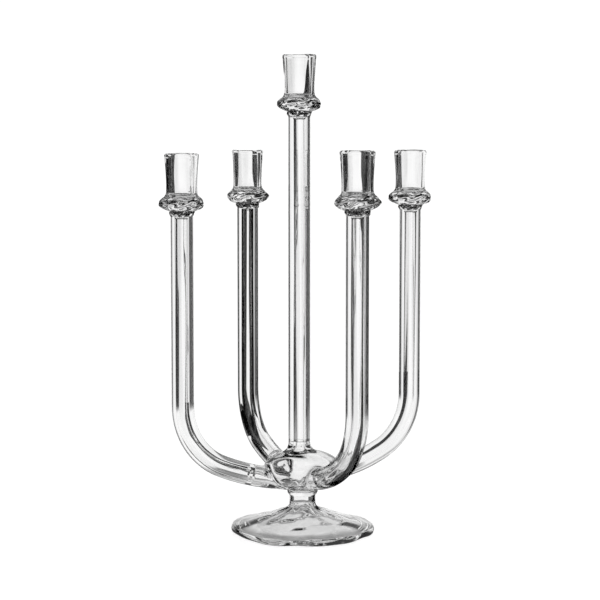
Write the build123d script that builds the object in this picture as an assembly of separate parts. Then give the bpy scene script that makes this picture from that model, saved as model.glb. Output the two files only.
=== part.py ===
from build123d import *

import math
import os

# A five-light candelabrum of clear glass.  A straight centre stem and four J-shaped arms grow out of a
# flattened hollow bulb, which stands on a blown foot.  Every piece is flame-worked by itself and fused to
# its neighbours, so the pieces meet face to face and nothing moves.
# Millimetres, +Z up.  The origin is the centre of the foot on the table.  The arms lie along the four
# horizontal axes: front is -Y, left is -X, back is +Y and right is +X.

# The stem and the arms were set a little off the foot's axis by hand
STEM_X = -2.9
STEM_Y = 1.4

# Tubes of the stem and the arms
TUBE_RADIUS = 11.0
TUBE_BORE_RADIUS = 4.2
TUBE_END_GLASS = 2.5          # solid glass above the rounded end of a tube's bore

# Lights: heights are measured up from the widest line of the drip ring
CANDLE_BORE_RADIUS = 11.25    # takes a standard 22 mm candle
BORE_MOUTH_HEIGHT = 47.0
BORE_TAPER_HEIGHT = 24.0      # below this the bore narrows
BORE_NECK_RADIUS = 9.6        # its narrowest place; below it the bore opens out into the drip ring
BORE_NECK_HEIGHT = 14.0
CUP_LIP_RADIUS = 17.0
CUP_LIP_EDGE_HEIGHT = 46.4
CUP_TOP_RADIUS = 14.4
CUP_TOP_HEIGHT = 49.2
CUP_WAIST_RADIUS = 15.0
CUP_WAIST_HEIGHT = 18.0
CUP_SEAM_HEIGHT = 7.0         # seam between the cup and the drip ring
CUP_SEAM_RADIUS = 17.0
CUP_SEAM_BORE_RADIUS = 11.4
RING_RADIUS = 22.0
RING_HOLLOW_RADIUS = 14.6     # widest place of the hollow inside the ring
RING_HOLLOW_HEIGHT = 3.4
RING_BOTTOM_RADIUS = 12.2
RING_BOTTOM_HEIGHT = -7.5
BEAD_RADIUS = 12.8
BEAD_BOTTOM_HEIGHT = -12.5

CENTRE_RING_HEIGHT = 435.3    # the centre drip ring's widest line above the table

# Arms, each bent by hand: compass direction, height of its drip ring, height of its axis where the long
# gentle bend starts, its slope there, its slope where the tight bend starts, and the tight bend's radius
ARM_REACH = 127.5             # stem axis to candle axis
ARM_ROOT = 34.0               # stem axis to the start of the long bend
ARM_SEAM = 55.0               # stem axis to the seam between a stub of the bulb and its arm
ARMS = {
    "front": {"turn": -90, "ring": 340.4, "root": 60.6, "root_slope": 6, "rise_slope": 34, "bend": 63},
    "left": {"turn": 180, "ring": 337.4, "root": 59.0, "root_slope": 10, "rise_slope": 23, "bend": 68},
    "back": {"turn": 90, "ring": 339.4, "root": 61.8, "root_slope": 9.5, "rise_slope": 24, "bend": 59},
    "right": {"turn": 0, "ring": 339.9, "root": 61.6, "root_slope": 5, "rise_slope": 28, "bend": 63},
}

# Bulb
HUB_HEIGHT = 65.5             # its widest line above the table
HUB_RADIUS = 40.0
HUB_HALF_HEIGHT = 20.0
HUB_SIDE_ROUND = 13.0         # radius of its rounded side
HUB_WALL = 3.5
HUB_SEAT_RADIUS = 14.0        # flat underneath, where the merese is fused on
HUB_SEAT_DEPTH = 4.0
STUB_INNER_END = 16.0         # a stub starts this far from the stem axis, inside the bulb's outline
FLARE_FOOT_RADIUS = 21.0      # the stem's flare where it runs out on the bulb
FLARE_FOOT_HEIGHT = 81.0
STEM_SEAM_HEIGHT = 95.0

# Merese, the solid disc under the bulb
MERESE_TOP = 45.2
MERESE_BOTTOM = 38.5
MERESE_RADIUS = 15.5
MERESE_WIDEST_HEIGHT = 42.8

# Foot
NECK_RADIUS = 13.1
NECK_BORE_RADIUS = 10.2
NECK_BOTTOM = 31.0
FOOT_WALL = 3.6
FOOT_RADIUS = 73.1
RIM_HEIGHT = 4.0              # the rim's widest line above the table
RIM_TOP_RADIUS = 69.3
RIM_TOP_HEIGHT = 7.8
RIM_FLAT_OUTER = 70.8         # the ring that stands on the table
RIM_FLAT_INNER = 67.2


def turned(outline, x=0.0, y=0.0, z=0.0):
    """Solid of revolution about a vertical axis, from a closed outline of radius and height."""
    face = make_face(Plane.XZ * outline)
    return Pos(x, y, z) * revolve(face, Axis.Z)


def make_foot():
    """Blown foot: a hollow neck that opens into a wide low bell with a rolled rim."""
    bell = [(19.5, 24.6), (32.0, 19.6), (52.0, 12.9)]
    outside = Spline(
        [(NECK_RADIUS, NECK_BOTTOM)] + bell + [(RIM_TOP_RADIUS, RIM_TOP_HEIGHT)],
        tangents=[(0, -1), (1, -0.15)],
    )
    rim = ThreePointArc((RIM_TOP_RADIUS, RIM_TOP_HEIGHT), (FOOT_RADIUS, RIM_HEIGHT), (RIM_FLAT_OUTER, 0))
    inside = Spline(
        [(RIM_FLAT_INNER, 0)]
        + [(radius, height - FOOT_WALL) for radius, height in reversed(bell)]
        + [(NECK_BORE_RADIUS, NECK_BOTTOM - FOOT_WALL)],
        tangents=[(-0.7, 1), (0, 1)],
    )
    flat = Line((RIM_FLAT_OUTER, 0), (RIM_FLAT_INNER, 0))
    neck = Polyline(
        (NECK_BORE_RADIUS, NECK_BOTTOM - FOOT_WALL),
        (NECK_BORE_RADIUS, MERESE_BOTTOM),
        (NECK_RADIUS, MERESE_BOTTOM),
        (NECK_RADIUS, NECK_BOTTOM),
    )
    return turned(outside + rim + flat + inside + neck)


def make_merese():
    """Solid disc with a rounded edge, between the neck and the bulb."""
    edge = ThreePointArc(
        (NECK_RADIUS, MERESE_BOTTOM), (MERESE_RADIUS, MERESE_WIDEST_HEIGHT), (HUB_SEAT_RADIUS, MERESE_TOP)
    )
    faces = Polyline(
        (HUB_SEAT_RADIUS, MERESE_TOP), (0, MERESE_TOP), (0, MERESE_BOTTOM), (NECK_RADIUS, MERESE_BOTTOM)
    )
    return turned(edge + faces)


def oval_arcs(wall):
    """Half outline of the bulb set in by a wall thickness: bottom crown, rounded side and top crown."""
    side_radius = HUB_SIDE_ROUND - wall
    side_centre = HUB_RADIUS - HUB_SIDE_ROUND
    rise = HUB_HALF_HEIGHT - wall
    crown_radius = (side_centre**2 + rise**2 - side_radius**2) / (2 * (rise - side_radius))
    lean = math.degrees(math.atan2(crown_radius - rise, side_centre))
    top = CenterArc((0, HUB_HEIGHT + rise - crown_radius), crown_radius, 90, lean - 90)
    side = CenterArc((side_centre, HUB_HEIGHT), side_radius, lean, -2 * lean)
    bottom = CenterArc((0, HUB_HEIGHT - rise + crown_radius), crown_radius, -lean, lean - 90)
    return top, side, bottom


def bulb(wall):
    """Flattened ball about the foot's axis, set in by a wall thickness."""
    top, side, bottom = oval_arcs(wall)
    return turned(top + side + bottom + Line(bottom @ 1, top @ 0))


def arm_arcs(arm):
    """Radius and centre of an arm's long gentle bend, then of its tight bend, in the arm's own plane."""
    root_slope = math.radians(arm["root_slope"])
    rise_slope = math.radians(arm["rise_slope"])
    tight_centre_x = ARM_REACH - arm["bend"]
    tight_start_x = tight_centre_x + arm["bend"] * math.sin(rise_slope)
    long_radius = (tight_start_x - ARM_ROOT) / (math.sin(rise_slope) - math.sin(root_slope))
    long_centre_x = ARM_ROOT - long_radius * math.sin(root_slope)
    long_centre_z = arm["root"] + long_radius * math.cos(root_slope)
    tight_centre_z = long_centre_z - (long_radius - arm["bend"]) * math.cos(rise_slope)
    return long_radius, (long_centre_x, long_centre_z), (tight_centre_x, tight_centre_z)


def slope_at(arm, distance):
    """Slope of an arm's long bend, in degrees, at a distance from the stem's axis."""
    long_radius, long_centre, _ = arm_arcs(arm)
    return math.degrees(math.asin((distance - long_centre[0]) / long_radius))


def stub_path(arm):
    """Axis of the bulb's stub: the long bend from inside the bulb to the seam."""
    long_radius, long_centre, _ = arm_arcs(arm)
    start = slope_at(arm, STUB_INNER_END)
    return Wire(CenterArc(long_centre, long_radius, start - 90, slope_at(arm, ARM_SEAM) - start))


def arm_path(arm, top):
    """Axis of an arm, from its seam to a point at the given height on the candle's axis."""
    long_radius, long_centre, tight_centre = arm_arcs(arm)
    start = slope_at(arm, ARM_SEAM)
    long_bend = CenterArc(long_centre, long_radius, start - 90, arm["rise_slope"] - start)
    tight_bend = CenterArc(tight_centre, arm["bend"], arm["rise_slope"] - 90, 90 - arm["rise_slope"])
    upright = Line((ARM_REACH, tight_centre[1]), (ARM_REACH, top))
    return long_bend + tight_bend + upright


def swept(radius, path):
    """Round bar of the given radius along a path of distance and height."""
    spine = Plane.XZ * path
    start = Plane(origin=spine @ 0, z_dir=spine % 0)
    return sweep(start * Circle(radius), path=spine)


def placed(arm, solid):
    """Turn a solid from the +X side to the arm's own side and set it on the stem's axis."""
    return Pos(STEM_X, STEM_Y, 0) * Rot(0, 0, arm["turn"]) * solid


def stem_flare():
    """Round mass under the stem: a short stretch of tube that flares out on the bulb."""
    curve = Spline(
        [(TUBE_RADIUS, STEM_SEAM_HEIGHT), (12.4, 88.6), (16.5, 84.2), (FLARE_FOOT_RADIUS, FLARE_FOOT_HEIGHT)],
        tangents=[(0, -1), (1, -0.4)],
    )
    rest = Polyline(
        (FLARE_FOOT_RADIUS, FLARE_FOOT_HEIGHT),
        (0, HUB_HEIGHT),
        (0, STEM_SEAM_HEIGHT),
        (TUBE_RADIUS, STEM_SEAM_HEIGHT),
    )
    return turned(curve + rest, STEM_X, STEM_Y)


def make_hub():
    """Flattened hollow bulb with a flat seat, four stubs for the arms and the flare under the stem."""
    seat = Pos(0, 0, MERESE_TOP + HUB_SEAT_DEPTH / 2) * Cylinder(HUB_SEAT_RADIUS, HUB_SEAT_DEPTH)
    body = bulb(0) + seat + stem_flare()
    bore_length = STEM_SEAM_HEIGHT - HUB_HEIGHT
    hollow = bulb(HUB_WALL)
    hollow += Pos(STEM_X, STEM_Y, HUB_HEIGHT + bore_length / 2) * Cylinder(TUBE_BORE_RADIUS, bore_length)
    for arm in ARMS.values():
        body += placed(arm, swept(TUBE_RADIUS, stub_path(arm)))
        hollow += placed(arm, swept(TUBE_BORE_RADIUS, stub_path(arm)))
    return body - hollow


def make_stem():
    """Straight thick-walled tube whose bore ends rounded under the bead."""
    top = CENTRE_RING_HEIGHT + BEAD_BOTTOM_HEIGHT
    bore_top = top - TUBE_END_GLASS
    bore_side = bore_top - TUBE_BORE_RADIUS
    bore_end = ThreePointArc(
        (TUBE_BORE_RADIUS, bore_side),
        (TUBE_BORE_RADIUS * math.sqrt(0.5), bore_side + TUBE_BORE_RADIUS * math.sqrt(0.5)),
        (0, bore_top),
    )
    sides = Polyline(
        (0, bore_top),
        (0, top),
        (TUBE_RADIUS, top),
        (TUBE_RADIUS, STEM_SEAM_HEIGHT),
        (TUBE_BORE_RADIUS, STEM_SEAM_HEIGHT),
        (TUBE_BORE_RADIUS, bore_side),
    )
    return turned(bore_end + sides, STEM_X, STEM_Y)


def make_arm(arm):
    """Thick-walled tube bent to a J, whose bore ends rounded under the bead."""
    top = arm["ring"] + BEAD_BOTTOM_HEIGHT
    bore_side = top - TUBE_END_GLASS - TUBE_BORE_RADIUS
    tube = swept(TUBE_RADIUS, arm_path(arm, top))
    tube -= swept(TUBE_BORE_RADIUS, arm_path(arm, bore_side))
    tube -= Pos(ARM_REACH, 0, bore_side) * Sphere(TUBE_BORE_RADIUS)
    return placed(arm, tube)


def make_neck_bead(x, y, height):
    """Small solid bead between a tube and its drip ring."""
    edge = ThreePointArc(
        (TUBE_RADIUS, BEAD_BOTTOM_HEIGHT),
        (BEAD_RADIUS, (BEAD_BOTTOM_HEIGHT + RING_BOTTOM_HEIGHT) / 2),
        (RING_BOTTOM_RADIUS, RING_BOTTOM_HEIGHT),
    )
    faces = Polyline(
        (RING_BOTTOM_RADIUS, RING_BOTTOM_HEIGHT),
        (0, RING_BOTTOM_HEIGHT),
        (0, BEAD_BOTTOM_HEIGHT),
        (TUBE_RADIUS, BEAD_BOTTOM_HEIGHT),
    )
    return turned(edge + faces, x, y, height)


def make_drip_ring(x, y, height):
    """Wide lens-shaped ring, hollow inside, whose floor closes the candle cup's bore."""
    edge = Spline(
        [
            (RING_BOTTOM_RADIUS, RING_BOTTOM_HEIGHT),
            (19.8, -4.0),
            (RING_RADIUS, 0),
            (19.6, 4.6),
            (CUP_SEAM_RADIUS, CUP_SEAM_HEIGHT),
        ]
    )
    hollow = Spline(
        [
            (CUP_SEAM_BORE_RADIUS, CUP_SEAM_HEIGHT),
            (RING_HOLLOW_RADIUS, RING_HOLLOW_HEIGHT),
            (9.0, 0.4),
            (0, 0),
        ],
        tangents=[(0.8, -0.6), (-1, 0)],
    )
    seam = Line((CUP_SEAM_RADIUS, CUP_SEAM_HEIGHT), (CUP_SEAM_BORE_RADIUS, CUP_SEAM_HEIGHT))
    underside = Polyline((0, 0), (0, RING_BOTTOM_HEIGHT), (RING_BOTTOM_RADIUS, RING_BOTTOM_HEIGHT))
    return turned(edge + seam + hollow + underside, x, y, height)


def make_candle_cup(x, y, height):
    """Thick-walled socket with a rounded lip, a straight bore for the candle and a narrower waist."""
    wall = Spline(
        [
            (CUP_SEAM_RADIUS, CUP_SEAM_HEIGHT),
            (15.3, 11.0),
            (CUP_WAIST_RADIUS, CUP_WAIST_HEIGHT),
            (CUP_LIP_RADIUS, CUP_LIP_EDGE_HEIGHT),
        ],
        tangents=[(-0.7, 0.7), (0.05, 1)],
    )
    lip = ThreePointArc(
        (CUP_LIP_RADIUS, CUP_LIP_EDGE_HEIGHT),
        (CUP_TOP_RADIUS, CUP_TOP_HEIGHT),
        (CANDLE_BORE_RADIUS, BORE_MOUTH_HEIGHT),
    )
    bore = Line((CANDLE_BORE_RADIUS, BORE_MOUTH_HEIGHT), (CANDLE_BORE_RADIUS, BORE_TAPER_HEIGHT))
    waist = Spline(
        [
            (CANDLE_BORE_RADIUS, BORE_TAPER_HEIGHT),
            (BORE_NECK_RADIUS, BORE_NECK_HEIGHT),
            (CUP_SEAM_BORE_RADIUS, CUP_SEAM_HEIGHT),
        ],
        tangents=[(0, -1), (0.7, -0.7)],
    )
    seam = Line((CUP_SEAM_BORE_RADIUS, CUP_SEAM_HEIGHT), (CUP_SEAM_RADIUS, CUP_SEAM_HEIGHT))
    return turned(wall + lip + bore + waist + seam, x, y, height)


def light_places():
    """Name and position of each light: x, y and the height of its drip ring's widest line."""
    places = {"centre": (STEM_X, STEM_Y, CENTRE_RING_HEIGHT)}
    for name, arm in ARMS.items():
        turn = math.radians(arm["turn"])
        x = STEM_X + ARM_REACH * math.cos(turn)
        y = STEM_Y + ARM_REACH * math.sin(turn)
        places[name] = (x, y, arm["ring"])
    return places


pieces = {"foot": make_foot(), "merese": make_merese(), "hub": make_hub(), "centre_stem": make_stem()}
for name, arm in ARMS.items():
    pieces[f"arm_{name}"] = make_arm(arm)
for name, place in light_places().items():
    pieces[f"neck_bead_{name}"] = make_neck_bead(*place)
    pieces[f"drip_ring_{name}"] = make_drip_ring(*place)
    pieces[f"candle_cup_{name}"] = make_candle_cup(*place)

os.makedirs("parts", exist_ok=True)
for name, piece in pieces.items():
    export_step(piece, f"parts/{name}.step")
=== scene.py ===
import math

import bmesh
import bpy
import numpy as np
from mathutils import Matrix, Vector


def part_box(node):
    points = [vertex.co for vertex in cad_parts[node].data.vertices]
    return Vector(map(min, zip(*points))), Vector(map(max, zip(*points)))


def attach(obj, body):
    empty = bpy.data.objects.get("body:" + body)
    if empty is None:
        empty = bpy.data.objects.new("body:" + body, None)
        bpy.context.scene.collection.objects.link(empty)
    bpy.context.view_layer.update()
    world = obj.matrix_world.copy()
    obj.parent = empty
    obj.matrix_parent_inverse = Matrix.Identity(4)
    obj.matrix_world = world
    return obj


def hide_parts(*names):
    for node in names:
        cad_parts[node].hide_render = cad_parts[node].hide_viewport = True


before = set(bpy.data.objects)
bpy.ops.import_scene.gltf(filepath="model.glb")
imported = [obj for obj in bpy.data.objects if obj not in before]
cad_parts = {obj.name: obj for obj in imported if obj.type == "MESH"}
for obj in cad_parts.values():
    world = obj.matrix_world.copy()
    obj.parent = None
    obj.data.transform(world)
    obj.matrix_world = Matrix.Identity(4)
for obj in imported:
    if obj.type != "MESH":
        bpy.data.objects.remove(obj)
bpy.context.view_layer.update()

# A five-light candelabrum of clear worked glass.  Every CAD node is replaced by a smooth, closed glass mesh
# of about the same outline.  Lengths are millimetres, turned into Blender's metres by MM.
MM = 0.001
SEGMENTS = 96                 # points round a turned piece
SEAM_GAP = 0.02               # thin film of air left at each fused seam, so that two faces never coincide
SEAM_ROUND = 0.08             # rounding where a piece ends in a seam

# Camera: seen from the front, a little above the middle, towards the centre stem
CAMERA_AZIMUTH = math.radians(-25.66)
CAMERA_PITCH = math.radians(4.964)
CAMERA_DISTANCE = 1889.806
CAMERA_SIDE = 0.74            # to the right of the stem
CAMERA_HEIGHT = 402.1
CAMERA_LENS = 112.49          # on Blender's 36 mm sensor
CAMERA_RIGHT = Vector((math.cos(CAMERA_AZIMUTH), math.sin(CAMERA_AZIMUTH), 0.0))
CAMERA_AHEAD = Vector((-math.sin(CAMERA_AZIMUTH), math.cos(CAMERA_AZIMUTH), 0.0))

# Tubes
TUBE_RADIUS = 11.0
TUBE_BORE_RADIUS = 4.2
TUBE_END_GLASS = 0.25         # solid glass above the end of a tube's bore
BORE_END_RISE = 0.8           # how high the bore's end is domed
TUBE_STEP = 3.0               # length of a tube's faces along its axis

# Arms: each is bent by hand.  The way it points, the height of its axis where the long gentle bend starts,
# its slope there, its slope where the tight bend starts, and the tight bend's radius
ARM_ROOT = 34.0               # stem axis to the start of the long bend
ARM_SEAM = 55.0               # stem axis to the seam between a stub of the bulb and its arm
STUB_INNER_END = 16.0         # stem axis to the inner end of a stub
ARMS = {
    "front": {"turn": -90, "root": 60.6, "root_slope": 6, "rise_slope": 34, "bend": 63},
    "left": {"turn": 180, "root": 59.0, "root_slope": 10, "rise_slope": 23, "bend": 68},
    "back": {"turn": 90, "root": 61.8, "root_slope": 9.5, "rise_slope": 24, "bend": 59},
    "right": {"turn": 0, "root": 61.6, "root_slope": 5, "rise_slope": 28, "bend": 63},
}

# Lights: heights are measured from the drip ring's widest line
LIGHTS = ("centre", "front", "left", "back", "right")
BEAD_BOTTOM = -12.5
BEAD_BOTTOM_RADIUS = 11.0
RING_BOTTOM = -7.5
RING_BOTTOM_RADIUS = 12.2
CUP_SEAM = 7.0
CUP_SEAM_RADIUS = 17.0
CUP_SEAM_BORE_RADIUS = 11.4
CUP_WALL_MIDDLE = 13.2        # radius between the inside and the outside of a cup's wall
CUP_FLUTE_RISE = 20.0         # the flutes grow to their full depth over this height
CUP_LIP_START = 44.0          # the lip's waviness starts here
CUP_LIP_RISE = 5.0

# Lumps of the solid pieces: (size, times round, turn of phase for each mm along the axis).  Their phases come
# from these steps for each seed and each wave
SEED_PHASE = 2.399
WAVE_PHASE = 1.71
BEAD_LUMPS = [(0.4, 7, 0.7), (0.25, 10, -0.9), (0.2, 3, 0.4)]
RING_LUMPS = [(0.3, 3, 0.2), (0.4, 5, 0.5), (0.35, 8, -0.8), (0.06, 13, 1.2)]
MERESE_LUMPS = [(0.15, 2, 0.1), (0.12, 5, 0.3)]

# Foot and merese
NECK_RADIUS = 13.1
NECK_BORE_RADIUS = 10.2
FOOT_TOP = 38.5
MERESE_TOP = 45.2
MERESE_TOP_RADIUS = 14.0
FOOT_SEGMENTS = 160
FOOT_NOMINAL_RADIUS = 73.0
FOOT_LIFT = 2.4               # how far the rim is bent up on one side
FOOT_LIFT_TURN = math.radians(154)
FOOT_NECK_START = 32.0        # no ripples above this height
FOOT_RIPPLE_REACH = 25.0      # the ripples grow to their full size over this radius
# The underside lies below a line that falls outwards: its height at the axis, inside and outside a radius
FOOT_UNDER_EDGE = 30.0
FOOT_UNDER_INNER = 22.5
FOOT_UNDER_OUTER = 19.5
FOOT_UNDER_SLOPE = 0.18
# Waves of the foot: (size, times round, phase, turn of phase for each mm along the axis)
FOOT_UNDER_WAVES = [(0.5, 6, 1.0, 0.0), (0.35, 11, 0.0, 0.0)]
FOOT_TOP_WAVES = [(0.25, 7, 0.5, 0.0), (0.2, 13, 1.0, 0.0)]
FOOT_RIM_WAVES = [(0.5, 2, 0.4, 0.0), (0.5, 3, 2.0, 0.0), (0.25, 7, 0.0, 0.0)]
FOOT_RING_SIZE = 0.25         # faint rings round the foot
FOOT_UNDER_RING_PITCH = 2.6
FOOT_TOP_RING_PITCH = 3.7

# Bulb
HUB_HEIGHT = 65.5
HUB_RADIUS = 40.0
HUB_HALF_HEIGHT = 20.0
HUB_WALL = 2.6
HUB_SEAT_RADIUS = 14.0
HUB_PITCH = 0.9               # spacing of the grid that the bulb's surface is found on
HUB_MARGIN = 2.0              # how far the grid goes past the bulb
NET_PULLS = 4                 # times that the surface's points are pulled on to the field's zero level
NET_PROBE = 0.05              # step for the field's slope
NET_REACH = 0.3               # furthest pull
NET_LEAST_STEEP = 0.2
FLARE_BLEND = 9.0             # fillets of the bulb's outside and inside, and of its edges at the seams
FLARE_BORE_BLEND = 8.0
SEAT_BLEND = 2.0
STUB_OVERRUN = 0.1            # radians of the long bend past the seam, which the seam then cuts off
STUB_BLEND = 5.0
STUB_BORE_BLEND = 3.0
EDGE_BLEND = 0.6

# Floor.  Its grey levels as the glass shows it, painted shade round the foot, at the back and at the front:
# (distance from middle, level)
FLOOR_RADIUS = 450.0
FLOOR_DROP = 0.5              # just under the foot
FLOOR_WHITE = 0.92
FLOOR_GLOW = 0.75
FLOOR_PAINTED_SHADE_BACK = [(0, 0.75), (50, 0.7), (64, 0.25), (112, 0.16), (130, 0.9), (450, 1.0)]
FLOOR_PAINTED_SHADE_FRONT = [(0, 0.8), (38, 0.75), (50, 0.3), (85, 0.3), (120, 0.8), (220, 0.95), (450, 1.0)]
FLOOR_FADE = (-50.0, -10.0)   # depths between which the front levels give way to the back ones

# Surround.  Its grey levels to the left and to the right: (degrees from straight behind the object, level)
LEFT_GREYS = [
    (0, 1.0), (10, 0.85), (25, 0.8), (33, 0.7), (37, 0.02), (95, 0.02), (100, 0.3), (106, 0.3),
    (112, 0.04), (132, 0.04), (138, 0.8), (180, 0.9),
]
RIGHT_GREYS = [
    (0, 1.0), (15, 1.0), (30, 0.98), (43, 0.85), (48, 0.03), (64, 0.03), (69, 0.85), (96, 0.85),
    (104, 0.05), (128, 0.05), (134, 0.8), (180, 0.9),
]
SIDE_FADE = (-0.1, 0.1)       # by how far the direction goes to the right
# Above and below, by how far the direction goes up, which is 1 overhead
TOP_FADE = (0.28, 0.36)
TOP_GREYS = [
    (0, 0.5), (0.5, 0.45), (0.54, 0.9), (0.66, 0.9), (0.7, 0.02), (0.92, 0.02), (0.95, 0.5), (1, 0.5),
]
LOW_LIGHT_FADE = (-0.20, -0.14)
LOW_LIGHT = 0.95
UNDER_FADE = (-0.6, -0.5)
UNDER_LIGHT = 0.12
BACKGROUND_STRENGTH = 1.05    # of the white that the camera sees

# Cards, which only the glass can see: black for painted shade, and glowing grey on the flags' outsides
CARD_BLACK = 0.01
CARD_GREY = 0.4
CARD_THICKNESS = 0.4
CARD_STEPS = 48
TRAY_DROP = 10.0              # trays are level black cards under the drip rings, for painted shade under them
TRAY_INNER = 26.0
TRAY_OUTER = 42.0
# Flags are black cards of painted shade, which stand round a light's axis: light, where the card starts and
# ends, in degrees round from straight behind the light towards the right, radius, lowest and highest height
# from the drip ring's widest line, and how much narrower the card is at its top
FLAGS = [
    ("back", 13, 110, 14, -275, -13),
    ("back", -110, -18, 14, -275, -13),
    ("front", 34, 95, 26, -290, -13),
    ("left", -70, -27, 28, 5, 48),
    ("front", 16, 66, 28, 5, 48),
    ("back", 24, 46, 28, 3, 47),
    ("right", -60, -26, 28, 3, 47),
    ("centre", 6, 72, 26, -2, 47, 0.9),
    ("centre", 30, 100, 24, -408, -391),
    ("centre", -100, -30, 24, -408, -391),
]
# Painted shade round every light, beside its bead and beside the upper half of its ring
FLAGS += [(name, -180, 180, 25, low, high) for name in LIGHTS for low, high in ((-13, -4.5), (0.0, 5.0))]
# Gutters are black cards of painted shade that follow an arm: length along its axis from the seam, and where
# the card starts and ends, in degrees round the tube from its upper side, to the left when looking outwards
# along the arm
GUTTER_RADIUS = 13.5
GUTTER_STEPS = 12
GUTTERS = {
    "front": [
        (2, 100, 225), (12, 70, 235), (24, 70, 215), (36, 85, 185), (50, 60, 180), (66, 50, 172),
        (84, 60, 165), (104, 75, 155), (125, 85, 140),
    ],
    "back": [(2, 130, 180), (20, 125, 200), (60, 120, 205), (95, 125, 195), (116, 135, 180)],
    "right": [(2, 25, 65), (40, 15, 60), (80, 5, 70), (110, 0, 85), (132, 0, 90)],
    "left": [(2, -60, -20), (40, -60, -10), (80, -66, -5), (98, -58, 5), (116, -30, 15)],
}


def box_centre(node):
    """Middle of a CAD node's box, in millimetres."""
    low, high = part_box(node)
    return (low + high) / (2 * MM)


def ring_line(light):
    """Centre of a light's drip ring at its widest line."""
    x, y, _ = box_centre(f"drip_ring_{light}")
    return x, y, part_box(f"drip_ring_{light}")[0].z / MM - RING_BOTTOM


STEM_X, STEM_Y, _ = box_centre("centre_stem")
ARM_REACH = box_centre("candle_cup_right")[0] - STEM_X


# ---------------------------------------------------------------- outlines

def smooth_line(points, steps=6):
    """Catmull-Rom line through points of (radius, height)."""
    ends = [tuple(2 * a - b for a, b in zip(points[0], points[1]))]
    ends += list(points)
    ends.append(tuple(2 * a - b for a, b in zip(points[-1], points[-2])))
    line = []
    for p0, p1, p2, p3 in zip(ends, ends[1:], ends[2:], ends[3:]):
        for step in range(steps):
            t = step / steps
            line.append(tuple(
                0.5 * (
                    2 * b + (c - a) * t + (2 * a - 5 * b + 4 * c - d) * t**2
                    + (3 * b - a - 3 * c + d) * t**3
                )
                for a, b, c, d in zip(p0, p1, p2, p3)
            ))
    return line + [tuple(points[-1])]


def join(*lines):
    """One outline from several lines that share end points."""
    outline = list(lines[0])
    for line in lines[1:]:
        outline += line[1:]
    return outline


def soften(outline, radius, closed=False):
    """Outline with its sharp corners rounded off."""
    points = [Vector(p) for p in outline]
    result = []
    count = len(points)
    for i, here in enumerate(points):
        if not closed and i in (0, count - 1):
            result.append(tuple(here))
            continue
        before = points[i - 1] - here
        after = points[(i + 1) % count] - here
        turn = math.pi - before.angle(after)
        if turn < math.radians(30):
            result.append(tuple(here))
            continue
        reach_in = min(radius, before.length * 0.45)
        reach_out = min(radius, after.length * 0.45)
        start = here + before.normalized() * reach_in
        end = here + after.normalized() * reach_out
        if before.length > 4 * reach_in:
            result.append(tuple(here + before.normalized() * 2 * reach_in))
        for step in range(6):
            t = step / 5
            result.append(tuple((1 - t)**2 * start + 2 * t * (1 - t) * here + t**2 * end))
        if after.length > 4 * reach_out:
            result.append(tuple(here + after.normalized() * 2 * reach_out))
    return result


def straight(start, end, spacing):
    """Straight line cut into steps of about the spacing."""
    start, end = Vector(start), Vector(end)
    steps = max(1, round((end - start).length / spacing))
    return [tuple(start.lerp(end, step / steps)) for step in range(steps + 1)]


def round_end(radius, height):
    """Quarter oval from the axis out to a bore's wall, for a bore that ends rounded."""
    angles = [math.pi / 2 * step / 8 for step in range(9)]
    return [(radius * math.sin(a), height + BORE_END_RISE * math.cos(a)) for a in angles]


# ---------------------------------------------------------------- meshes

def upright(x, y, z):
    """Place cross-section points about a vertical axis."""
    def place(across, aside, along):
        return Vector((x + across, y + aside, z + along)) * MM
    return place


def turned(name, outline, place, warp, closed=False, segments=SEGMENTS):
    """Closed mesh from an outline of (radius, distance along the axis), turned about a straight or bent axis.

    The outline starts and ends on the axis, or is a closed loop clear of it.  The warp makes it uneven.
    """
    bm = bmesh.new()
    rings = []
    for radius, along in outline:
        if radius < 1e-6:
            rings.append([bm.verts.new(place(0, 0, along))])
            continue
        ring = []
        for i in range(segments):
            angle = 2 * math.pi * i / segments
            r, s = warp(angle, radius, along)
            ring.append(bm.verts.new(place(r * math.cos(angle), r * math.sin(angle), s)))
        rings.append(ring)
    pairs = list(zip(rings, rings[1:]))
    if closed:
        pairs.append((rings[-1], rings[0]))
    for first, second in pairs:
        for i in range(segments):
            j = (i + 1) % segments
            if len(first) == 1:
                bm.faces.new((first[0], second[j], second[i]))
            elif len(second) == 1:
                bm.faces.new((first[i], first[j], second[0]))
            else:
                bm.faces.new((first[i], first[j], second[j], second[i]))
    return finished(name, bm)


def finished(name, bm):
    """Blender object from a bmesh, with its faces smooth and facing out."""
    bmesh.ops.recalc_face_normals(bm, faces=bm.faces)
    mesh = bpy.data.meshes.new(name)
    bm.to_mesh(mesh)
    bm.free()
    mesh.polygons.foreach_set("use_smooth", [True] * len(mesh.polygons))
    piece = bpy.data.objects.new(name, mesh)
    bpy.context.scene.collection.objects.link(piece)
    return piece


def ripple(waves, angle, along=0.0):
    """Sum of waves of (size, times round, phase, turn of phase for each mm along the axis)."""
    return sum(
        size * math.sin(times * angle + phase + along * twist)
        for size, times, phase, twist in waves
    )


def lumps(seed, waves):
    """Unevenness of hand-worked glass, from waves whose phases come from the seed."""
    phased = [
        (size, times, seed * SEED_PHASE + number * WAVE_PHASE, twist)
        for number, (size, times, twist) in enumerate(waves)
    ]

    def warp(angle, radius, along):
        return radius + ripple(phased, angle, along), along
    return warp


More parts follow.
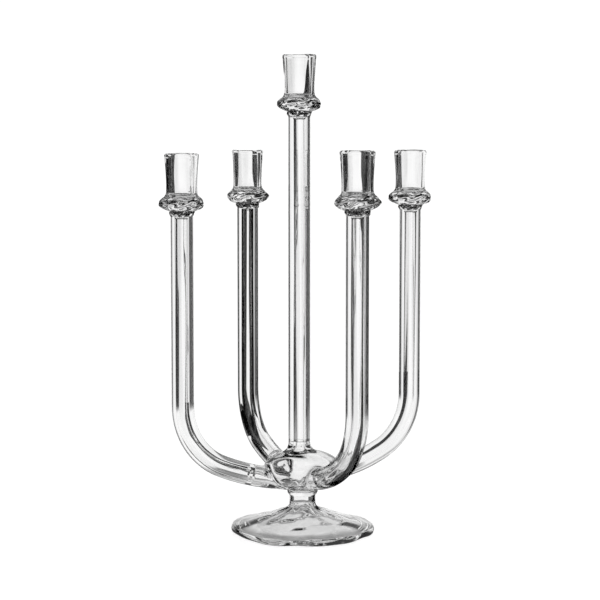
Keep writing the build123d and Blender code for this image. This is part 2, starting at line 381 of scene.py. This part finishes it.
def drawn_tube(seed):
    """Unevenness of drawn tube: its bore is a little off centre and out of round all along."""
    side = seed * 2.1 + 0.6
    outer = [(0.05, 9, side, 0.0), (0.04, 14, 2 * side, 0.0), (0.05, 2, side, 0.011)]
    bore = [(0.06, 1, math.pi / 2 - side, 0.0), (0.03, 3, 2 * side, 0.0)]
    bore_twist = [(0.03, 5, side, 0.02)]

    def warp(angle, radius, along):
        if radius > TUBE_BORE_RADIUS + 0.5:
            return radius + ripple(outer, angle, along), along
        return radius * (1 + ripple(bore, angle)) * (1 + ripple(bore_twist, angle, along)), along
    return warp


def pulled_cup(seed):
    """Unevenness of a cup drawn up by hand: upright flutes inside and out, and a slightly wavy lip."""
    inner = [(0.14, 5, seed * 1.9, 0.0), (0.05, 8, seed * 0.7, 0.0), (0.04, 13, seed, 0.02)]
    outer = [(0.22, 4, seed * 1.3, 0.0), (0.14, 9, seed * 2.2, 0.0)]
    oval = [(0.1, 2, 0.0, 0.1)]
    lip = [(0.3, 2, seed, 0.0)]

    def warp(angle, radius, along):
        flute = min(1.0, max(0.0, (along - CUP_SEAM) / CUP_FLUTE_RISE))
        if radius < CUP_WALL_MIDDLE:
            return radius + flute * ripple(inner, angle, along), along
        wavy = max(0.0, (along - CUP_LIP_START) / CUP_LIP_RISE)
        r = radius + flute * ripple(outer, angle) + ripple(oval, angle, along)
        return r, along + wavy * ripple(lip, angle)
    return warp


# ---------------------------------------------------------------- arms

class ArmAxis:
    """Centre line of one arm in its own upright plane: a long bend, a tight bend and a straight upright.

    Lengths along it are counted from the seam between the bulb's stub and the arm.
    """

    def __init__(self, arm):
        root_slope = math.radians(arm["root_slope"])
        self.rise = math.radians(arm["rise_slope"])
        self.bend = arm["bend"]
        self.turn = math.radians(arm["turn"])
        self.tight_x = ARM_REACH - self.bend
        tight_start = self.tight_x + self.bend * math.sin(self.rise)
        self.long = (tight_start - ARM_ROOT) / (math.sin(self.rise) - math.sin(root_slope))
        self.long_x = ARM_ROOT - self.long * math.sin(root_slope)
        self.long_z = arm["root"] + self.long * math.cos(root_slope)
        self.tight_z = self.long_z - (self.long - self.bend) * math.cos(self.rise)
        self.seam_slope = self.slope_at(ARM_SEAM)
        self.inner_slope = self.slope_at(STUB_INNER_END)
        self.long_length = self.long * (self.rise - self.seam_slope)
        self.tight_length = self.bend * (math.pi / 2 - self.rise)

    def slope_at(self, distance):
        return math.asin((distance - self.long_x) / self.long)

    def point(self, along):
        """Distance from the stem, height and slope at a length along the axis from the seam."""
        if along < self.long_length:
            slope = self.seam_slope + along / self.long
            distance = self.long_x + self.long * math.sin(slope)
            return distance, self.long_z - self.long * math.cos(slope), slope
        along -= self.long_length
        if along < self.tight_length:
            slope = self.rise + along / self.bend
            distance = self.tight_x + self.bend * math.sin(slope)
            return distance, self.tight_z - self.bend * math.cos(slope), slope
        return ARM_REACH, self.tight_z + along - self.tight_length, math.pi / 2

    def length_to(self, height):
        """Length along the axis from the seam to a height on the upright."""
        return self.long_length + self.tight_length + height - self.tight_z

    def place(self, across, aside, along):
        """World place of a cross-section point."""
        distance, height, slope = self.point(along)
        distance -= across * math.sin(slope)
        height += across * math.cos(slope)
        cos, sin = math.cos(self.turn), math.sin(self.turn)
        x = STEM_X + distance * cos - aside * sin
        y = STEM_Y + distance * sin + aside * cos
        return Vector((x, y, height)) * MM


def tube_outline(length):
    """Thick-walled tube, open at its lower end, whose bore ends rounded below its closed top."""
    bore_side = length - TUBE_END_GLASS - BORE_END_RISE
    bore = join(
        round_end(TUBE_BORE_RADIUS, bore_side),
        straight((TUBE_BORE_RADIUS, bore_side), (TUBE_BORE_RADIUS, SEAM_GAP), TUBE_STEP),
    )
    outside = straight((TUBE_RADIUS, SEAM_GAP), (TUBE_RADIUS, length - SEAM_GAP), TUBE_STEP)
    return soften(bore + outside + [(0, length - SEAM_GAP)], SEAM_ROUND)


def make_arm(name, seed):
    axis = ArmAxis(ARMS[name])
    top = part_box(f"arm_{name}")[1].z / MM
    outline = tube_outline(axis.length_to(top))
    piece = turned(f"glass_arm_{name}", outline, axis.place, drawn_tube(seed + 1))
    dress(piece, "tube_glass", f"arm_{name}")


def make_stem():
    low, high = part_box("centre_stem")
    outline = tube_outline((high.z - low.z) / MM)
    piece = turned("glass_stem", outline, upright(STEM_X, STEM_Y, low.z / MM), drawn_tube(0))
    dress(piece, "tube_glass", "centre_stem")


# ---------------------------------------------------------------- lights

def bead_outline():
    low, high = BEAD_BOTTOM + SEAM_GAP, RING_BOTTOM - SEAM_GAP
    side = smooth_line([
        (BEAD_BOTTOM_RADIUS, low), (11.7, -11.2), (12.1, -9.5), (RING_BOTTOM_RADIUS, high),
    ])
    return soften(join([(0, low), side[0]], side, [side[-1], (0, high)]), SEAM_ROUND)


def ring_outline():
    """Solid ring with a hollow in its top, which ends the candle bore."""
    low, high = RING_BOTTOM + SEAM_GAP, CUP_SEAM - SEAM_GAP
    side = smooth_line([
        (RING_BOTTOM_RADIUS, low), (16.4, -5.9), (19.8, -4.0), (21.6, -1.8), (22.0, 0.2), (21.3, 2.4),
        (19.6, 4.6), (CUP_SEAM_RADIUS, high),
    ])
    hollow = smooth_line([
        (CUP_SEAM_BORE_RADIUS, high), (13.6, 5.6), (14.6, 3.4), (13.2, 1.4), (9.0, 0.4), (4.0, 0.05),
        (0, 0),
    ])
    return soften(join([(0, low), side[0]], side, [side[-1], hollow[0]], hollow), SEAM_ROUND)


def cup_outline():
    """Thick wall, up its outside, over a rounded lip and down the candle bore."""
    low = CUP_SEAM + SEAM_GAP
    wall = smooth_line([
        (CUP_SEAM_RADIUS, low), (15.7, 9.0), (15.2, 12.0), (15.0, 18.0), (15.2, 26.0), (15.8, 35.0),
        (16.4, 41.5), (16.6, 44.5), (17.0, 46.5), (16.7, 48.2), (15.4, 49.1), (13.6, 49.0), (12.1, 48.2),
        (11.4, 46.6), (11.25, 43.0), (11.25, 36.0), (11.2, 28.0), (11.15, 18.0), (11.25, 11.0),
        (CUP_SEAM_BORE_RADIUS, low),
    ])
    return soften(wall, SEAM_ROUND, closed=True)


def make_light(name, seed):
    """Neck bead, drip ring and candle cup."""
    place = upright(*ring_line(name))
    bead = turned(f"glass_bead_{name}", bead_outline(), place, lumps(seed + 1, BEAD_LUMPS))
    dress(bead, "solid_glass", f"neck_bead_{name}")
    ring = turned(f"glass_ring_{name}", ring_outline(), place, lumps(seed + 2, RING_LUMPS))
    dress(ring, "solid_glass", f"drip_ring_{name}")
    cup = turned(f"glass_cup_{name}", cup_outline(), place, pulled_cup(seed + 3), closed=True)
    dress(cup, "cup_glass", f"candle_cup_{name}")


# ---------------------------------------------------------------- foot and merese

def foot_warp(angle, radius, along):
    """Ripples of a blown foot: lobes, faint rings, and a rim that is out of round and bent up on one side."""
    far = (radius / FOOT_NOMINAL_RADIUS)**2
    under_line = FOOT_UNDER_OUTER if radius > FOOT_UNDER_EDGE else FOOT_UNDER_INNER
    if along < under_line - FOOT_UNDER_SLOPE * radius:
        lobes, ring_pitch = ripple(FOOT_UNDER_WAVES, angle), FOOT_UNDER_RING_PITCH
    else:
        lobes, ring_pitch = ripple(FOOT_TOP_WAVES, angle), FOOT_TOP_RING_PITCH
    lobes += FOOT_RING_SIZE * math.sin(radius / ring_pitch + 2 * math.sin(3 * angle))
    height = along + FOOT_LIFT * far**2 * max(0.0, math.cos(angle - FOOT_LIFT_TURN))**2
    if along < FOOT_NECK_START:
        height += min(1.0, radius / FOOT_RIPPLE_REACH) * lobes
    return radius + far * ripple(FOOT_RIM_WAVES, angle), max(height, 0.0)


def make_foot():
    """Blown foot: down its top from the neck, round the rim and up its hollow underside."""
    x, y, _ = box_centre("foot")
    top = FOOT_TOP - SEAM_GAP
    wall = smooth_line([
        (NECK_RADIUS, top), (13.1, 34.0), (13.3, 30.5), (14.8, 27.2), (19.5, 24.4), (32.0, 19.6),
        (52.0, 12.9), (64.0, 9.2), (69.3, 7.8), (72.0, 6.6), (73.1, 4.0), (72.4, 1.4), (70.8, 0.1),
        (69.0, 0.0), (67.2, 0.3), (63.5, 3.4), (52.0, 9.2), (32.0, 16.0), (19.5, 21.0), (12.2, 24.8),
        (10.4, 28.5), (10.2, 34.0), (NECK_BORE_RADIUS, top),
    ])
    outline = soften(wall, SEAM_ROUND, closed=True)
    place = upright(x, y, 0)
    piece = turned("glass_foot", outline, place, foot_warp, closed=True, segments=FOOT_SEGMENTS)
    dress(piece, "blown_glass", "foot")


def make_merese():
    x, y, _ = box_centre("merese")
    low, high = FOOT_TOP + SEAM_GAP, MERESE_TOP - SEAM_GAP
    side = smooth_line([
        (NECK_RADIUS, low), (14.7, 40.4), (15.5, 42.8), (14.9, 44.4), (MERESE_TOP_RADIUS, high),
    ])
    outline = soften(join([(0, low), side[0]], side, [side[-1], (0, high)]), SEAM_ROUND)
    piece = turned("glass_merese", outline, upright(x, y, 0), lumps(9, MERESE_LUMPS))
    dress(piece, "solid_glass", "merese")


# ---------------------------------------------------------------- bulb

def soft_min(a, b, blend):
    """Smallest of two distance fields, with a rounded fillet where they meet."""
    mix = np.clip(0.5 + 0.5 * (b - a) / blend, 0, 1)
    return b * (1 - mix) + a * mix - blend * mix * (1 - mix)


def soft_max(a, b, blend):
    return -soft_min(-a, -b, blend)


def ball_field(x, y, z, radius, half_height):
    """Rough distance to the flattened ball."""
    near = np.sqrt((x * x + y * y) / radius**2 + z * z / half_height**2)
    steep = np.sqrt((x * x + y * y) / radius**4 + z * z / half_height**4)
    return near * (near - 1) / np.maximum(steep, 1e-9)


def stub_field(axis, x, y, z, radius):
    """Distance to a round bar along the long bend of an arm, from inside the bulb to just past the seam."""
    cos, sin = math.cos(axis.turn), math.sin(axis.turn)
    out = (x - STEM_X) * cos + (y - STEM_Y) * sin
    aside = (y - STEM_Y) * cos - (x - STEM_X) * sin
    slope = np.arctan2(out - axis.long_x, axis.long_z - z)
    slope = np.clip(slope, axis.inner_slope, axis.seam_slope + STUB_OVERRUN)
    gap_out = out - (axis.long_x + axis.long * np.sin(slope))
    gap_z = z - (axis.long_z - axis.long * np.cos(slope))
    return np.sqrt(gap_out**2 + gap_z**2 + aside**2) - radius


def seam_field(axis, x, y, z):
    """Signed distance beyond the plane of an arm's seam."""
    distance, height, slope = axis.point(0)
    out = (x - STEM_X) * math.cos(axis.turn) + (y - STEM_Y) * math.sin(axis.turn)
    return (out - distance) * math.cos(slope) + (z - height) * math.sin(slope) + SEAM_GAP


def hub_field(x, y, z):
    """Distance field of the hollow bulb with its stubs, its seat and the flare under the stem."""
    seat_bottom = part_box("hub")[0].z / MM + SEAM_GAP
    seam_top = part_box("hub")[1].z / MM - SEAM_GAP
    up = z - HUB_HEIGHT
    stem = np.hypot(x - STEM_X, y - STEM_Y)
    outside = ball_field(x, y, up, HUB_RADIUS, HUB_HALF_HEIGHT)
    inside = ball_field(x, y, up, HUB_RADIUS - HUB_WALL, HUB_HALF_HEIGHT - HUB_WALL)
    # Broad and fine unevenness of a blown wall
    broad = 0.25 * np.sin(x / 7 + 1) * np.sin(y / 8 + 2)
    outside += broad + 0.15 * np.sin(x / 4 + z / 5) * np.sin(y / 4.5 + 1)
    broad = 0.4 * np.sin(x / 6) * np.sin(y / 5 + 1) * np.cos(z / 7)
    inside += broad + 0.15 * np.sin(x / 3.5 + y / 4 + 2)
    outside = soft_min(outside, np.maximum(stem - TUBE_RADIUS, HUB_HEIGHT - z), FLARE_BLEND)
    inside = soft_min(inside, np.maximum(stem - TUBE_BORE_RADIUS, HUB_HEIGHT - z), FLARE_BORE_BLEND)
    outside = soft_min(outside, np.maximum(np.hypot(x, y) - HUB_SEAT_RADIUS, up), SEAT_BLEND)
    for arm in ARMS.values():
        axis = ArmAxis(arm)
        outside = soft_min(outside, stub_field(axis, x, y, z, TUBE_RADIUS), STUB_BLEND)
        inside = soft_min(inside, stub_field(axis, x, y, z, TUBE_BORE_RADIUS), STUB_BORE_BLEND)
    field = np.maximum(outside, -inside)
    for arm in ARMS.values():
        field = soft_max(field, seam_field(ArmAxis(arm), x, y, z), EDGE_BLEND)
    field = soft_max(field, seat_bottom - z, EDGE_BLEND)
    return soft_max(field, z - seam_top, EDGE_BLEND)


def field_surface(name, field, low, high, pitch):
    """Closed quad mesh of a distance field's zero level, by surface nets, pulled on to that level at last."""
    axes = [np.arange(a, b + pitch, pitch) for a, b in zip(low, high)]
    x, y, z = np.meshgrid(*axes, indexing="ij")
    values = field(x, y, z)
    inside = values < 0
    corners = [(i, j, k) for i in (0, 1) for j in (0, 1) for k in (0, 1)]
    shape = tuple(n - 1 for n in values.shape)

    def corner(grid, offset):
        return grid[tuple(slice(o, o + n) for o, n in zip(offset, shape))]

    filled = sum(corner(inside, c).astype(int) for c in corners)
    crossed = (filled > 0) & (filled < 8)
    total = np.zeros(shape + (3,))
    hits = np.zeros(shape)
    for first in corners:
        for second in corners:
            if sum(second) - sum(first) != 1 or any(b < a for a, b in zip(first, second)):
                continue
            va, vb = corner(values, first), corner(values, second)
            cut = (va < 0) != (vb < 0)
            t = np.where(cut, va / np.where(cut, va - vb, 1), 0)
            for k in range(3):
                total[..., k] += np.where(cut, first[k] + (second[k] - first[k]) * t, 0)
            hits += cut
    number = np.full(shape, -1)
    number[crossed] = np.arange(crossed.sum())
    cells = np.argwhere(crossed)
    points = np.array(low) + (cells + total[crossed] / hits[crossed][:, None]) * pitch

    faces = []
    for axis in range(3):
        ahead = np.zeros(3, int)
        ahead[axis] = 1
        first = inside[tuple(slice(0, n - a) for n, a in zip(inside.shape, ahead))]
        second = inside[tuple(slice(a, n) for n, a in zip(inside.shape, ahead))]
        edges = np.argwhere(first != second)
        u, v = [a for a in range(3) if a != axis]
        du, dv = np.eye(3, dtype=int)[u], np.eye(3, dtype=int)[v]
        keep = (edges[:, u] > 0) & (edges[:, v] > 0)
        edges = edges[keep]
        faces.append(np.stack([
            number[tuple((edges - du - dv).T)], number[tuple((edges - dv).T)],
            number[tuple(edges.T)], number[tuple((edges - du).T)],
        ], axis=1))
    faces = np.concatenate(faces)

    for _ in range(NET_PULLS):
        slopes = []
        for step in np.eye(3) * NET_PROBE:
            slopes.append((field(*(points + step).T) - field(*(points - step).T)) / (2 * NET_PROBE))
        slope = np.stack(slopes, axis=1)
        steep = np.maximum((slope**2).sum(axis=1), NET_LEAST_STEEP)[:, None]
        here = np.clip(field(*points.T), -NET_REACH, NET_REACH)[:, None]
        points -= here * slope / steep

    bm = bmesh.new()
    verts = [bm.verts.new(Vector(p) * MM) for p in points]
    for face in faces:
        bm.faces.new([verts[i] for i in face])
    return finished(name, bm)


def make_hub():
    low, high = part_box("hub")
    grid_low = [v / MM - HUB_MARGIN for v in low]
    grid_high = [v / MM + HUB_MARGIN for v in high]
    piece = field_surface("glass_hub", hub_field, grid_low, grid_high, HUB_PITCH)
    dress(piece, "blown_glass", "hub")


# ---------------------------------------------------------------- materials

def glass(name, wave_scale, wave_height, stretch=1.0):
    """Clear colourless glass whose surface has faint waves, drawn out upright by the stretch."""
    material = bpy.data.materials.new(name)
    material.use_nodes = True
    nodes, links = material.node_tree.nodes, material.node_tree.links
    shader = nodes["Principled BSDF"]
    shader.inputs["Base Color"].default_value = (1.0, 1.0, 1.0, 1.0)
    shader.inputs["Transmission Weight"].default_value = 1.0
    shader.inputs["Roughness"].default_value = 0.0
    shader.inputs["IOR"].default_value = 1.5
    place = nodes.new("ShaderNodeTexCoord")
    mapping = nodes.new("ShaderNodeMapping")
    mapping.inputs["Scale"].default_value = (1.0, 1.0, 1.0 / stretch)
    waves = nodes.new("ShaderNodeTexNoise")
    waves.inputs["Scale"].default_value = wave_scale
    waves.inputs["Detail"].default_value = 1.0
    bump = nodes.new("ShaderNodeBump")
    bump.inputs["Strength"].default_value = 1.0
    bump.inputs["Distance"].default_value = wave_height * MM
    links.new(place.outputs["Object"], mapping.inputs["Vector"])
    links.new(mapping.outputs["Vector"], waves.inputs["Vector"])
    links.new(waves.outputs["Fac"], bump.inputs["Height"])
    links.new(bump.outputs["Normal"], shader.inputs["Normal"])
    return material


MATERIALS = {
    "tube_glass": glass("tube_glass", 60, 0.06, 6.0),
    "cup_glass": glass("cup_glass", 110, 0.1, 5.0),
    "solid_glass": glass("solid_glass", 150, 0.12),
    "blown_glass": glass("blown_glass", 60, 0.12),
}


def dress(piece, slot, node):
    """Give a piece its material and its body, and hide the CAD node that it stands for."""
    piece.data.materials.append(MATERIALS[slot])
    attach(piece, "root")
    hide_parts(node)


# ---------------------------------------------------------------- stage

def grey_ramp(nodes, links, value, stops, end):
    """Grey level by a value that runs from 0 to 1, with the stops given on a scale that runs to end."""
    ramp = nodes.new("ShaderNodeValToRGB")
    links.new(value, ramp.inputs["Fac"])
    elements = ramp.color_ramp.elements
    while len(elements) < len(stops):
        elements.new(0.5)
    for element, (place, grey) in zip(elements, stops):
        element.position = place / end
        element.color = (grey, grey, grey, 1.0)
    return ramp.outputs["Color"]


def fade(nodes, links, value, start, end):
    """0 below start and 1 above end."""
    step = nodes.new("ShaderNodeMapRange")
    step.inputs["From Min"].default_value = start
    step.inputs["From Max"].default_value = end
    links.new(value, step.inputs["Value"])
    return step.outputs["Result"]


def part_along(nodes, links, vector, direction):
    """How far a vector goes along a direction."""
    dot = nodes.new("ShaderNodeVectorMath")
    dot.operation = "DOT_PRODUCT"
    links.new(vector, dot.inputs[0])
    dot.inputs[1].default_value = direction
    return dot.outputs["Value"]


def blend(nodes, links, amount, first, second):
    """The second colour as far as the amount says, over the first.  Each is a socket or a grey level."""
    mix = nodes.new("ShaderNodeMixRGB")
    links.new(amount, mix.inputs["Fac"])
    for socket, value in ((mix.inputs["Color1"], first), (mix.inputs["Color2"], second)):
        if isinstance(value, float):
            socket.default_value = (value, value, value, 1.0)
        else:
            links.new(value, socket)
    return mix.outputs["Color"]


def make_floor():
    """Round white floor.  As the glass shows it, it has grey rings of painted shade round the object."""
    bm = bmesh.new()
    bmesh.ops.create_circle(bm, cap_ends=True, segments=128, radius=FLOOR_RADIUS * MM)
    floor = finished("floor", bm)
    floor.location.z = -FLOOR_DROP * MM
    material = bpy.data.materials.new("floor_white")
    material.use_nodes = True
    nodes, links = material.node_tree.nodes, material.node_tree.links
    shader = nodes["Principled BSDF"]
    shader.inputs["Base Color"].default_value = (FLOOR_WHITE, FLOOR_WHITE, FLOOR_WHITE, 1.0)
    shader.inputs["Roughness"].default_value = 0.9
    shader.inputs["Specular IOR Level"].default_value = 0.1
    shader.inputs["Emission Color"].default_value = (1.0, 1.0, 1.0, 1.0)
    shader.inputs["Emission Strength"].default_value = FLOOR_GLOW
    place = nodes.new("ShaderNodeTexCoord").outputs["Object"]
    reach = nodes.new("ShaderNodeVectorMath")
    reach.operation = "LENGTH"
    links.new(place, reach.inputs[0])
    distance = fade(nodes, links, reach.outputs["Value"], 0.0, FLOOR_RADIUS * MM)
    depth = part_along(nodes, links, place, CAMERA_AHEAD)
    behind = fade(nodes, links, depth, *(edge * MM for edge in FLOOR_FADE))
    front_grey = grey_ramp(nodes, links, distance, FLOOR_PAINTED_SHADE_FRONT, FLOOR_RADIUS)
    back_grey = grey_ramp(nodes, links, distance, FLOOR_PAINTED_SHADE_BACK, FLOOR_RADIUS)
    # Painted shade: the grey rings that only the glass sees, while the camera sees the floor white
    shade = nodes.new("ShaderNodeEmission")
    links.new(blend(nodes, links, behind, front_grey, back_grey), shade.inputs["Color"])
    choose = nodes.new("ShaderNodeMixShader")
    links.new(nodes.new("ShaderNodeLightPath").outputs["Is Camera Ray"], choose.inputs[0])
    links.new(shade.outputs[0], choose.inputs[1])
    links.new(shader.outputs[0], choose.inputs[2])
    links.new(choose.outputs[0], nodes["Material Output"].inputs["Surface"])
    floor.data.materials.append(material)


def make_black():
    material = bpy.data.materials.new("flag_black")
    material.use_nodes = True
    shader = material.node_tree.nodes["Principled BSDF"]
    shader.inputs["Base Color"].default_value = (CARD_BLACK, CARD_BLACK, CARD_BLACK, 1.0)
    shader.inputs["Roughness"].default_value = 1.0
    shader.inputs["Specular IOR Level"].default_value = 0.0
    return material


def make_grey():
    material = bpy.data.materials.new("card_grey")
    material.use_nodes = True
    nodes, links = material.node_tree.nodes, material.node_tree.links
    light = nodes.new("ShaderNodeEmission")
    light.inputs["Color"].default_value = (CARD_GREY, CARD_GREY, CARD_GREY, 1.0)
    links.new(light.outputs[0], nodes["Material Output"].inputs["Surface"])
    return material


BLACK = make_black()
GREY = make_grey()


def make_card(name, rows, material):
    """Card through rows of world points, out of the camera's sight."""
    bm = bmesh.new()
    rows = [[bm.verts.new(point) for point in row] for row in rows]
    for first, second in zip(rows, rows[1:]):
        for i in range(len(first) - 1):
            bm.faces.new((first[i], first[i + 1], second[i + 1], second[i]))
    card = finished(name, bm)
    card.visible_camera = False
    card.data.materials.append(material)


def make_flag(number, light, start, end, radius, low, high, narrow=0.0):
    """Card curved round a light's axis, black on the inside and glowing grey on the outside.

    The glass that it stands round shows it as a dark streak of painted shade.
    """
    x, y, ring = ring_line(light)
    middle = (start + end) / 2
    half = (end - start) / 2
    for side, reach, material in (("in", radius, BLACK), ("out", radius + CARD_THICKNESS, GREY)):
        columns = []
        for step in range(CARD_STEPS + 1):
            place = 2 * step / CARD_STEPS - 1
            column = []
            for level, width in ((low, half), (high, half * (1 - narrow))):
                turn = CAMERA_AZIMUTH - math.radians(middle + width * place)
                point = Vector((x - reach * math.sin(turn), y + reach * math.cos(turn), ring + level))
                column.append(point * MM)
            columns.append(column)
        make_card(f"flag_{number}_{side}", columns, material)


def make_tray(number, light):
    """Level black card all round a light, a little below its drip ring, which the glass shows as painted
    shade.
    """
    x, y, ring = ring_line(light)
    place = upright(x, y, ring - TRAY_DROP)
    angles = [2 * math.pi * step / CARD_STEPS for step in range(CARD_STEPS + 1)]
    rims = [
        [place(radius * math.cos(a), radius * math.sin(a), 0) for a in angles]
        for radius in (TRAY_INNER, TRAY_OUTER)
    ]
    make_card(f"tray_{number}", rims, BLACK)


def make_gutter(name):
    """Black card close to an arm's tube, which it follows from the seam to the tight bend; the tube shows it
    as a dark streak of painted shade.
    """
    axis = ArmAxis(ARMS[name])
    rows = []
    for along, start, end in GUTTERS[name]:
        row = []
        for step in range(GUTTER_STEPS + 1):
            angle = math.radians(start + (end - start) * step / GUTTER_STEPS)
            across, aside = GUTTER_RADIUS * math.cos(angle), GUTTER_RADIUS * math.sin(angle)
            row.append(axis.place(across, aside, along))
        rows.append(row)
    make_card(f"gutter_{name}", rows, BLACK)


def make_world():
    """White for the camera, and grey levels by direction for the glass.

    The glass sees a bright field straight behind the object, dark panels further round on the left and, more
    narrowly, on the right, a grey ceiling with a bright band and a dark one, white out to the horizon below
    and dark straight down.
    """
    world = bpy.data.worlds.new("studio")
    bpy.context.scene.world = world
    world.use_nodes = True
    nodes, links = world.node_tree.nodes, world.node_tree.links
    nodes.clear()
    direction = nodes.new("ShaderNodeTexCoord").outputs["Generated"]

    turn = nodes.new("ShaderNodeMath")
    turn.operation = "ARCCOSINE"
    links.new(part_along(nodes, links, direction, CAMERA_AHEAD), turn.inputs[0])
    angle = fade(nodes, links, turn.outputs[0], 0.0, math.pi)
    side = fade(nodes, links, part_along(nodes, links, direction, CAMERA_RIGHT), *SIDE_FADE)
    left_grey = grey_ramp(nodes, links, angle, LEFT_GREYS, 180)
    right_grey = grey_ramp(nodes, links, angle, RIGHT_GREYS, 180)
    surround = blend(nodes, links, side, left_grey, right_grey)
    height = part_along(nodes, links, direction, (0.0, 0.0, 1.0))
    top_grey = grey_ramp(nodes, links, height, TOP_GREYS, 1)
    surround = blend(nodes, links, fade(nodes, links, height, *TOP_FADE), surround, top_grey)
    surround = blend(nodes, links, fade(nodes, links, height, *LOW_LIGHT_FADE), LOW_LIGHT, surround)
    surround = blend(nodes, links, fade(nodes, links, height, *UNDER_FADE), UNDER_LIGHT, surround)

    lit = nodes.new("ShaderNodeBackground")
    links.new(surround, lit.inputs["Color"])
    seen = nodes.new("ShaderNodeBackground")
    seen.inputs["Color"].default_value = (1.0, 1.0, 1.0, 1.0)
    seen.inputs["Strength"].default_value = BACKGROUND_STRENGTH
    choose = nodes.new("ShaderNodeMixShader")
    path = nodes.new("ShaderNodeLightPath")
    links.new(path.outputs["Is Camera Ray"], choose.inputs[0])
    links.new(lit.outputs[0], choose.inputs[1])
    links.new(seen.outputs[0], choose.inputs[2])
    output = nodes.new("ShaderNodeOutputWorld")
    links.new(choose.outputs[0], output.inputs["Surface"])


def make_camera():
    camera = bpy.data.objects.new("camera", bpy.data.cameras.new("camera"))
    bpy.context.scene.collection.objects.link(camera)
    camera.data.lens = CAMERA_LENS
    stem = Vector((STEM_X, STEM_Y, CAMERA_HEIGHT))
    camera.location = (stem + CAMERA_RIGHT * CAMERA_SIDE - CAMERA_AHEAD * CAMERA_DISTANCE) * MM
    camera.rotation_euler = (math.pi / 2 - CAMERA_PITCH, 0, CAMERA_AZIMUTH)
    camera.data.clip_start = 0.05
    camera.data.clip_end = 20.0
    bpy.context.scene.camera = camera


make_camera()
make_world()
make_floor()
for number, flag in enumerate(FLAGS):
    make_flag(number, *flag)
for number, name in enumerate(LIGHTS):
    make_tray(number, name)
for name in GUTTERS:
    make_gutter(name)
bpy.context.scene.view_settings.view_transform = "Standard"
make_foot()
make_merese()
make_hub()
make_stem()
for seed, name in enumerate(ARMS):
    make_arm(name, seed)
for seed, name in enumerate(LIGHTS):
    make_light(name, seed * 4)
